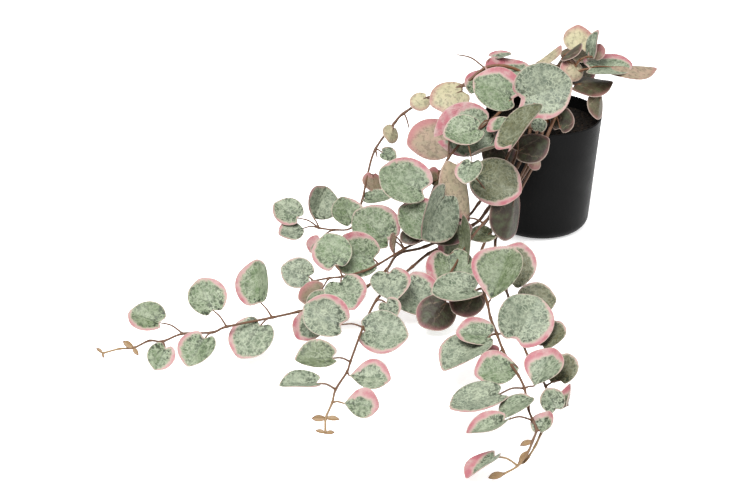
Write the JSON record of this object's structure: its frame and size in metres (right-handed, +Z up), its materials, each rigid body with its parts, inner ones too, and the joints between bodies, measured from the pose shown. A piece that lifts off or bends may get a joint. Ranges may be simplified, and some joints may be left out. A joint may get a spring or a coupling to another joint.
{
  "type": "potted string of hearts",
  "caption": "Trailing heart-leaved vine in a small black nursery pot, its leafy stems spilling over the rim and lying out along the surface to the front and left.",
  "frame": {"origin": "middle of the pot's foot, on the surface that it stands on", "axes": "+Z up, -Y to the front where the longest stems trail, +X to the right"},
  "size_m": [0.4041, 0.4316, 0.1551],
  "materials": {
    "pot_plastic": "smooth black plastic with a soft satin sheen",
    "potting_soil": "dark crumbly compost of bark and peat",
    "foliage": "grey-green leaves with dark specks, pink margins and beige undersides on brown stems"
  },
  "bodies": {
    "root": {"pot": "pot_plastic", "soil": "potting_soil", "stem_left_trail": "foliage", "stem_front_trail": "foliage", "stem_short_trail": "foliage", "stem_back_arch": "foliage", "stem_upper": "foliage", "stem_middle": "foliage", "stem_front_spray": "foliage", "stem_right_trail": "foliage", "stem_right_back_trail": "foliage", "stem_crown_right": "foliage", "stem_crown_back": "foliage"}
  },
  "joints": []
}
